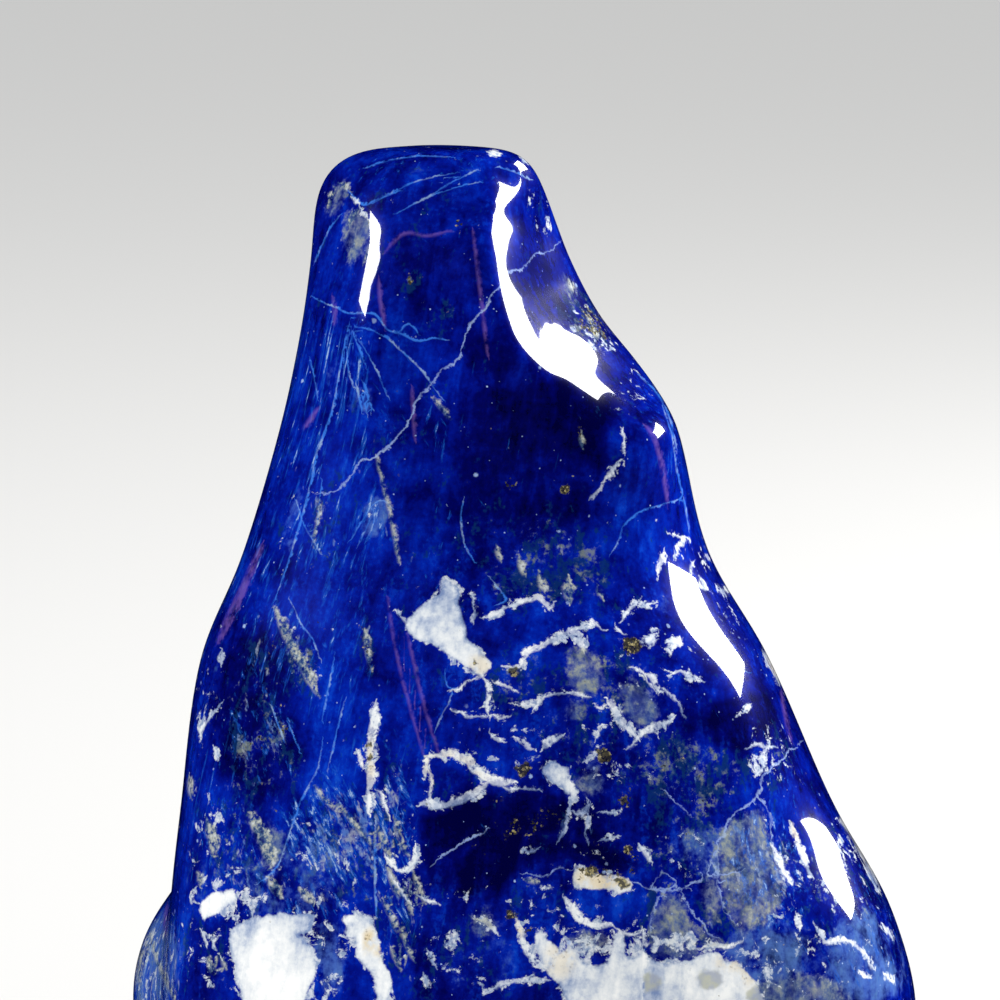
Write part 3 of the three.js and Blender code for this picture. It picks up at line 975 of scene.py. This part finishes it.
def mark(mesh):
    """Stores the markings on the mesh's points, for the material to read."""
    points, normals = points_and_normals(mesh)
    facing = (toward_camera(points) * normals).sum(axis=1)
    places = marking_places(points, facing)
    hidden = 1 - smooth_step(*GLANCING, np.abs(facing)) * smooth_step(*BEHIND, facing)

    def painted(strokes, ground, hidden_ground):
        field = stroke_field(places, strokes, ground)
        return field + (hidden_ground - field) * hidden * HIDDEN_SHARE

    for name, layers in PAINTED.items():
        store(mesh, name, *(painted(*layer) for layer in layers))
    outlines = (CALCITE_PATCHES, GREY_PATCHES, NAVY_PATCHES)
    store(mesh, "patches", *(patch_field(places, outline) for outline in outlines))
    # pyrite, cream, and the frost clouding with its painted sheen
    store(mesh, "stains_and_sheen", patch_field(places, PYRITE_PATCHES), stroke_field(places, CREAM_STAINS, 0.0),
          painted(*PAINTED_HAZE_AND_SHEEN))
    lines = {"beige_fleck": BEIGE_FLECKS, "pale_crack": PALE_CRACKS, "violet_reflection": VIOLET_REFLECTIONS}
    lines |= zip(VEIN_PILES, dealt(WHITE_VEINS, len(VEIN_PILES)))
    lines |= zip(HAIR_PILES, dealt(HAIRLINES, len(HAIR_PILES)))
    for name, routes in lines.items():
        store(mesh, name, *line_field(places, routes).T)


# ---------------------------------------------------------------------------------------------------------
# The material


def colour(red, green, blue):
    """A colour from screen values of 0 to 255."""
    return tuple(((value / 255 + 0.055) / 1.055) ** 2.4 if value > 10 else value / 255 / 12.92
                 for value in (red, green, blue)) + (1.0,)


# The colours, as screen values.
BLUES = [
    (0.00, colour(0, 0, 54)),
    (0.28, colour(0, 3, 92)),
    (0.52, colour(0, 16, 130)),
    (0.74, colour(0, 33, 160)),
    (1.00, colour(8, 62, 192)),
]
AZURE = colour(6, 60, 184)
# pale blue-grey frost, also the colour of the painted sheen
FROST_AND_SHEEN = colour(84, 120, 184)
TEAL = colour(10, 44, 88)
STREAK_BLUE = colour(24, 90, 194)
STREAK_PALE = colour(150, 178, 212)
MATRIX_TEAL = colour(60, 92, 128)
MATRIX_BEIGE = colour(126, 134, 120)
PEBBLES = [
    (0.38, colour(62, 88, 140)),
    (0.48, colour(98, 116, 142)),
    (0.58, colour(146, 152, 144)),
    (0.68, colour(186, 188, 172)),
]
CALCITE = colour(228, 232, 234)
CALCITE_SHADE = colour(150, 168, 196)
WHITES = [
    (0.40, colour(120, 140, 182)),
    (0.46, colour(184, 194, 212)),
    (0.51, colour(222, 226, 230)),
    (0.58, colour(248, 248, 246)),
]
CREAM = colour(224, 204, 162)
BROWN = colour(98, 74, 46)
FLECK = colour(176, 178, 160)
FLECKS = [
    (0.41, colour(22, 34, 78)),
    (0.47, colour(70, 98, 132)),
    (0.53, FLECK),
    (0.61, colour(214, 220, 222)),
]
SPECK = colour(160, 184, 230)
HAIRLINE = colour(56, 124, 226)
LENS = colour(158, 164, 178)
# the colour of the painted violet reflections
REFLECTED_VIOLET = colour(134, 96, 170)
CRACK = colour(142, 164, 218)
ORE = [
    (0.00, colour(24, 24, 20)),
    (0.50, colour(66, 62, 34)),
    (0.78, colour(108, 100, 56)),
    (0.95, colour(204, 188, 126)),
]


class Shader:
    """Short calls for making and joining the nodes of one material."""

    def __init__(self, name):
        self.material = bpy.data.materials.new(name)
        self.material.use_nodes = True
        self.tree = self.material.node_tree
        self.surface = self.tree.nodes["Principled BSDF"]

    def put(self, socket, value):
        if isinstance(value, bpy.types.NodeSocket):
            self.tree.links.new(value, socket)
        else:
            socket.default_value = value

    def node(self, kind, inputs, **settings):
        made = self.tree.nodes.new(kind)
        for name, value in settings.items():
            setattr(made, name, value)
        for key, value in inputs.items():
            self.put(made.inputs[key], value)
        return made

    def math(self, operation, first, second=0.0):
        return self.node("ShaderNodeMath", {0: first, 1: second}, operation=operation).outputs[0]

    def step(self, value, low, high):
        """0 below low and 1 above high, with a smooth rise between; the other way round if low is above."""
        inputs = {"Value": value, "From Min": low, "From Max": high}
        return self.node("ShaderNodeMapRange", inputs, interpolation_type="SMOOTHSTEP").outputs["Result"]

    def rise(self, value, low, width):
        """0 below low and 1 a width above it."""
        return self.step(value, low, self.math("ADD", low, width))

    def mix(self, share, first, second):
        """A colour between two colours."""
        return self.node("ShaderNodeMix", {0: share, 6: first, 7: second}, data_type="RGBA").outputs[2]

    def blend(self, share, first, second):
        """A number between two numbers."""
        return self.node("ShaderNodeMix", {0: share, 2: first, 3: second}, data_type="FLOAT").outputs[0]

    def noise(self, place, scale, detail, roughness, distortion=0.0):
        inputs = {"Vector": place, "Scale": scale, "Detail": detail, "Roughness": roughness,
                  "Distortion": distortion}
        return self.node("ShaderNodeTexNoise", inputs).outputs["Fac"]

    def cells(self, place, scale):
        """The distance from the nearest cell's middle, and three chances that are even over the cell."""
        distance, tint = self.node("ShaderNodeTexVoronoi", {"Vector": place, "Scale": scale}).outputs[:2]
        return distance, *self.node("ShaderNodeSeparateColor", {0: tint}).outputs[:3]

    def stretched(self, place, turn, stretch):
        """Places turned about the front-to-back axis, then stretched; a turn above 0 leans the top left."""
        inputs = {"Vector": place, "Rotation": (0.0, math.radians(turn), 0.0)}
        inputs = {"Vector": self.node("ShaderNodeMapping", inputs).outputs["Vector"], "Scale": stretch}
        return self.node("ShaderNodeMapping", inputs).outputs["Vector"]

    def add(self, base, *terms):
        """A base with terms added, each a (value, weight)."""
        for value, weight in terms:
            inputs = {0: value, 1: weight, 2: base}
            base = self.node("ShaderNodeMath", inputs, operation="MULTIPLY_ADD").outputs[0]
        return base

    def ripple(self, *terms):
        """A ripple about 0, from terms that are each a (noise, reach)."""
        return self.add(-sum(reach for _, reach in terms) / 2, *terms)

    def times(self, *factors):
        product = factors[0]
        for factor in factors[1:]:
            product = self.math("MULTIPLY", product, factor)
        return product

    def most(self, *values):
        most = values[0]
        for value in values[1:]:
            most = self.math("MAXIMUM", most, value)
        return most

    def stored(self, name):
        vector = self.node("ShaderNodeAttribute", {}, attribute_name=name).outputs["Vector"]
        return self.node("ShaderNodeSeparateXYZ", {"Vector": vector}).outputs

    def ramp(self, value, stops):
        made = self.node("ShaderNodeValToRGB", {"Fac": value})
        elements = made.color_ramp.elements
        while len(elements) < len(stops):
            elements.new(0.5)
        for element, (position, shade) in zip(elements, stops):
            element.position = position
            element.color = shade
        return made.outputs["Color"]


class Lapis(Shader):
    """The stone's material: its noises, from broad clouds down to dust, and the layers drawn with them."""

    def __init__(self):
        super().__init__("lapis")
        self.place = self.node("ShaderNodeTexCoord", {}).outputs["Object"]
        self.cloud = self.noise(self.place, 75.0, detail=3.0, roughness=0.5, distortion=1.0)
        self.mottle = self.noise(self.place, 330.0, detail=6.0, roughness=0.62, distortion=0.3)
        self.grit = self.noise(self.place, 760.0, detail=4.0, roughness=0.60)
        self.fine = self.noise(self.place, 1900.0, detail=3.0, roughness=0.60)
        self.crumb = self.noise(self.place, 620.0, detail=7.0, roughness=0.66, distortion=0.4)
        brushed = self.stretched(self.place, -8.0, (520.0, 520.0, 80.0))
        self.brush = self.noise(brushed, 1.0, detail=5.0, roughness=0.58, distortion=0.5)
        flaked = self.stretched(self.place, -6.0, (760.0, 760.0, 300.0))
        self.flake = self.noise(flaked, 1.0, detail=4.0, roughness=0.6, distortion=0.4)
        self.base = None

    def grain(self, turn, stretch, shift, **settings):
        """Noise drawn out along one way, and moved aside so that no two grains go together."""
        moved = self.node("ShaderNodeVectorMath", {0: self.place, 1: shift}, operation="ADD").outputs[0]
        return self.noise(self.stretched(moved, turn, stretch), 1.0, **settings)

    def cover(self, share, shade):
        """Lays a colour over what is there, as far as a share."""
        self.base = self.mix(share, self.base, shade)

    def line(self, name, ripple, swell, soft):
        """How much of a place a stored line covers: its edge ripples and its width swells."""
        side, gap, width = self.stored(name)
        off = self.math("ABSOLUTE", self.math("ADD", side, ripple))
        edge = self.math("SUBTRACT", off, self.math("MULTIPLY", width, swell))
        return self.times(self.step(edge, soft, -soft), self.step(gap, 4.5, 3.0))

    def blue_body(self):
        """The lazurite: ultramarine, navy, painted shade and light, azure brushing, frost and painted sheen.
        """
        tone, grey, _ = self.stored("tones")
        ripple = self.ripple((self.cloud, 0.9), (self.mottle, 1.0), (self.grit, 0.4), (self.fine, 0.4),
                             (self.brush, 0.9))
        level = self.add(0.5, (tone, 0.42), (ripple, 1.0))
        navy = self.math("ADD", self.stored("patches")[2], self.ripple((self.mottle, 26), (self.fine, 10)))
        level = self.node("ShaderNodeMath", {0: self.step(navy, -3.5, 3.5), 1: -0.20, 2: level},
                          operation="MULTIPLY_ADD", use_clamp=True).outputs[0]
        self.base = self.ramp(level, BLUES)
        azure = self.step(self.add(0.0, (self.brush, 0.6), (self.fine, 0.4)), 0.54, 0.64)
        self.cover(self.times(azure, self.step(tone, -0.5, 0.5), 0.50), AZURE)
        flaky = self.add(0.0, (self.flake, 0.65), (self.fine, 0.35))
        self.cover(self.times(self.rise(flaky, self.blend(grey, 0.62, 0.42), 0.09), 0.70), TEAL)
        # real pale clouding, with painted sheen and light where the strokes put them
        haze_and_sheen = self.most(self.stored("stains_and_sheen")[2], self.times(self.near_white(), 0.55))
        cloudy = self.add(0.0, (self.mottle, 0.35), (self.grit, 0.25), (self.fine, 0.15), (self.flake, 0.25))
        self.cover(self.times(self.rise(cloudy, self.blend(haze_and_sheen, 0.74, 0.36), 0.22), 0.75), FROST_AND_SHEEN)

    def streaks(self, channel, turn, stretch, shift):
        """Fine pale streaks along one way, as much as the stored amount says."""
        streak = self.grain(turn, stretch, shift, detail=5.0, roughness=0.66, distortion=0.3)
        low = self.blend(self.stored("grains")[channel], 0.72, 0.42)
        self.cover(self.times(self.rise(streak, low, 0.12), 0.55), STREAK_BLUE)
        core = self.rise(streak, self.math("ADD", low, 0.10), 0.07)
        self.cover(self.times(core, self.step(self.fine, 0.34, 0.50), 0.85), STREAK_PALE)

    def lens_grains(self, channel, turn, shift):
        """Pale lens-shaped grains along one way, where there is both streak and grey grain."""
        amount = self.times(self.stored("grains")[channel], self.stored("tones")[1], 1.9)
        lens = self.rise(self.grain(turn, (1000.0, 1000.0, 330.0), shift, detail=3.0, roughness=0.6),
                         self.blend(amount, 0.76, 0.50), 0.10)
        shade = self.mix(self.step(self.grit, 0.40, 0.60), FROST_AND_SHEEN, LENS)
        self.cover(self.times(lens, self.step(self.fine, 0.30, 0.56), 0.70), shade)

    def grey_grain(self):
        """Grey-green and beige grains, and pebbles, of the matrix."""
        low = self.blend(self.stored("tones")[1], 0.70, 0.42)
        grains = self.add(0.0, (self.mottle, 0.30), (self.grit, 0.35), (self.fine, 0.35))
        shade = self.mix(self.step(self.grit, 0.40, 0.62), MATRIX_TEAL, MATRIX_BEIGE)
        self.cover(self.times(self.rise(grains, low, 0.11), 0.66), shade)
        patch = self.math("ADD", self.stored("patches")[1], self.ripple((self.mottle, 34), (self.fine, 14)))
        stripes = self.add(0.0, (self.brush, 0.6), (self.grit, 0.4))
        whole = self.blend(self.step(stripes, 0.40, 0.58), 0.30, 1.0)
        worn = self.blend(self.step(grains, 0.34, 0.54), 0.5, 1.0)
        pebble = self.ramp(self.add(0.0, (self.cloud, 0.35), (self.grit, 0.35), (self.fine, 0.30)), PEBBLES)
        self.cover(self.times(self.step(patch, -4.0, 6.0), worn, whole, 0.85), pebble)

    def near_white(self):
        """How near each place is to calcite, for the crumbs and the pale halo about it."""
        near = self.step(self.stored("patches")[0], -12.0, 0.0)
        return self.most(near, *(self.step(self.stored(name)[1], 9.0, -1.0) for name in VEIN_PILES))

    def white_grain(self, near):
        """Broken white grain, thickest beside the calcite."""
        amount = self.most(self.stored("tones")[2], self.times(near, 0.72))
        white = self.mix(self.step(self.fine, 0.36, 0.62), CALCITE_SHADE, CALCITE)
        self.cover(self.times(self.rise(self.crumb, self.blend(amount, 0.74, 0.40), 0.06), 0.80), white)

    def specks(self, scale, chosen_from, shade):
        """Single pale specks of many sizes."""
        distance, size, chance, strength = self.cells(self.place, scale)
        reach = self.blend(size, 0.10, 0.34)
        ragged = self.math("ADD", distance, self.ripple((self.fine, 0.6)))
        shown = self.step(ragged, reach, self.times(reach, 0.4))
        chosen = self.math("GREATER_THAN", chance, chosen_from)
        self.cover(self.times(shown, chosen, self.blend(strength, 0.2, 0.9)), shade)

    def thin_lines(self):
        """Blue hairlines, painted violet reflections, beige flecks and pale cracks, all broken here and
        there.
        """
        ripple = self.ripple((self.fine, 4.0), (self.grit, 3.0))
        swell = self.add(-0.9, (self.grit, 1.6), (self.fine, 1.6))
        jagged = self.ripple((self.mottle, 16.0), (self.grit, 9.0), (self.fine, 4.0))
        thin = self.add(-0.75, (self.grit, 1.4), (self.fine, 1.2))
        whole = self.blend(self.step(self.grit, 0.36, 0.54), 0.45, 1.0)
        hair = self.mix(self.step(self.mottle, 0.46, 0.60), HAIRLINE, STREAK_PALE)
        for name in HAIR_PILES:
            self.cover(self.times(self.line(name, ripple, swell, 0.8), whole, 0.75), hair)
        # painted reflections of thin coloured things, laid into the colour as violet lines
        reflected_line = self.line("violet_reflection", ripple, self.add(0.1, (self.fine, 1.4)), 2.0)
        self.cover(self.times(reflected_line, self.step(self.grit, 0.28, 0.60), 0.42), REFLECTED_VIOLET)
        rough = self.ripple((self.fine, 7.0), (self.grit, 8.0))
        fleck = self.line("beige_fleck", rough, self.add(0.2, (self.grit, 1.4)), 2.2)
        beige = self.ramp(self.add(0.0, (self.fine, 0.40), (self.grit, 0.35), (self.flake, 0.25)), FLECKS)
        self.cover(self.times(fleck, self.step(self.fine, 0.26, 0.50), 0.80), beige)
        crack = self.mix(self.step(self.fine, 0.48, 0.66), CRACK, CALCITE_SHADE)
        self.cover(self.times(self.line("pale_crack", jagged, thin, 0.8), whole, 0.78), crack)

    def calcite(self):
        """White calcite in masses and veins: ragged, pitted, shaded and stained."""
        ripple = self.ripple((self.mottle, 10.0), (self.grit, 8.0), (self.fine, 6.0))
        swell = self.add(-0.45, (self.mottle, 1.6), (self.fine, 0.8))
        mass = self.math("ADD", self.stored("patches")[0], self.ripple((self.mottle, 15), (self.grit, 4)))
        texture = self.add(0.0, (self.grit, 0.45), (self.fine, 0.55))
        masses = self.step(mass, -1.3, 1.3)
        pebble = self.math("ADD", self.stored("patches")[1], self.ripple((self.mottle, 14), (self.grit, 8)))
        veins = self.most(*(self.line(name, ripple, swell, 1.2) for name in VEIN_PILES))
        worn = self.blend(self.step(self.crumb, 0.40, 0.56), 0.6, 1.0)
        veins = self.times(veins, self.step(texture, 0.32, 0.46), worn)
        tint = self.add(0.0, (self.grit, 0.14), (self.fine, 0.10), (self.mottle, 0.18), (self.cloud, 0.34),
                        (self.brush, 0.24))
        rim, tone = self.step(mass, 5.0, 0.0), self.stored("tones")[0]
        # the tone strokes also whiten the great mass's middle, partly as a painted highlight
        white = self.ramp(self.add(tint, (rim, -0.05), (veins, 0.05), (tone, 0.07)), WHITES)
        sage = self.mix(self.step(self.grit, 0.40, 0.62), LENS, FLECK)
        white = self.mix(self.times(self.step(pebble, -1.0, 4.0), 0.8), white, sage)
        cream = self.times(self.stored("stains_and_sheen")[1], self.step(self.grit, 0.34, 0.58))
        white = self.mix(cream, white, CREAM)
        pits = self.times(self.step(self.fine, 0.40, 0.30), self.stored("stains_and_sheen")[1])
        white = self.mix(self.times(pits, 0.8), white, BROWN)
        self.cover(self.most(masses, veins), white)

    def pyrite(self):
        """Pyrite and its olive dust. Returns where they are."""
        _, brightness, chance, _ = self.cells(self.place, 4600.0)
        amount = self.stored("grains")[2]
        dust = self.math("GREATER_THAN", chance, self.blend(amount, 1.01, 0.35))
        clumpy = self.add(0.0, (self.mottle, 0.4), (self.grit, 0.6))
        clumps = self.step(clumpy, self.blend(amount, 0.62, 0.42), self.blend(amount, 0.70, 0.50))
        lump = self.math("ADD", self.stored("stains_and_sheen")[0], self.ripple((self.mottle, 12), (self.fine, 8)))
        ore = self.most(self.times(dust, clumps), self.step(lump, -1.2, 1.2))
        self.cover(self.times(ore, 0.85), self.ramp(brightness, ORE))
        return ore

    def polish(self, ore):
        surface = self.surface.inputs
        self.put(surface["Base Color"], self.base)
        self.put(surface["Metallic"], self.times(ore, 0.35))
        surface["Roughness"].default_value = 0.22
        surface["Specular IOR Level"].default_value = 0.03
        surface["Coat Weight"].default_value = 1.0
        surface["Coat Roughness"].default_value = 0.035
        surface["Coat IOR"].default_value = 1.5


def lapis_material():
    lapis = Lapis()
    lapis.blue_body()
    lapis.grey_grain()
    lapis.streaks(0, -11.0, (1500.0, 1500.0, 150.0), (0.3, 0.0, 0.0))
    lapis.streaks(1, 30.0, (1300.0, 1300.0, 170.0), (0.0, 0.7, 0.0))
    lapis.lens_grains(0, 2.0, (0.0, 0.4, 0.0))
    lapis.lens_grains(1, 26.0, (0.5, 0.0, 0.0))
    lapis.white_grain(lapis.near_white())
    lapis.specks(2600.0, 0.965, SPECK)
    lapis.specks(1000.0, 0.975, SPECK)
    lapis.thin_lines()
    lapis.calcite()
    lapis.polish(lapis.pyrite())
    return lapis.material


# ---------------------------------------------------------------------------------------------------------
# The studio


def pale_floor():
    """A plain pale floor. It isn't mirrored in the stone, so that the polish keeps the blue deep."""
    bpy.ops.mesh.primitive_plane_add(size=FLOOR_SIDE, location=(0, 0, 0))
    floor = bpy.context.object
    floor.name = "floor"
    shader = Shader("floor")
    shader.surface.inputs["Base Color"].default_value = colour(150, 149, 147)
    shader.surface.inputs["Emission Color"].default_value = colour(250, 249, 247)
    shader.surface.inputs["Emission Strength"].default_value = 0.45
    shader.surface.inputs["Roughness"].default_value = 0.9
    floor.data.materials.append(shader.material)
    floor.visible_glossy = False
    return floor


def area_light(name, place, aim, size, power, mirrored=True):
    data = bpy.data.lights.new(name, "AREA")
    data.shape = "RECTANGLE"
    data.size, data.size_y = size
    data.energy = power
    lamp = bpy.data.objects.new(name, data)
    lamp.location = place
    lamp.rotation_euler = (Vector(aim) - Vector(place)).to_track_quat("-Z", "Y").to_euler()
    lamp.visible_glossy = mirrored
    bpy.context.scene.collection.objects.link(lamp)


def studio_light():
    """Two softboxes that the polish mirrors, and soft fills that it doesn't."""
    area_light("right_softbox", (0.65, 0.276, 0.45), (0, 0, 0.07), (0.42, 0.34), 13)
    area_light("left_softbox", (-0.61, -0.21, 0.40), (0, 0, 0.09), (0.34, 0.085), 2.4)
    area_light("front_fill", (-0.5, -1.1, 0.9), (0, 0, 0.05), (1.2, 1.0), 5, mirrored=False)
    area_light("top_fill", (0.2, 0.4, 1.6), (0, 0, 0.05), (1.6, 1.6), 5, mirrored=False)
    world = bpy.data.worlds.new("studio")
    world.use_nodes = True
    background = world.node_tree.nodes["Background"].inputs
    background["Color"].default_value = (0.9, 0.95, 1.0, 1.0)
    background["Strength"].default_value = 0.55
    world.cycles_visibility.glossy = False
    bpy.context.scene.world = world


def studio_view():
    scene = bpy.context.scene
    scene.view_settings.view_transform = "Standard"
    scene.cycles.use_denoising = True


make_camera()
stone = make_stone(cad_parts["stone"])
mark(stone.data)
stone.data.materials.append(lapis_material())
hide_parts("stone")
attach(stone, "root")
pale_floor()
studio_light()
studio_view()
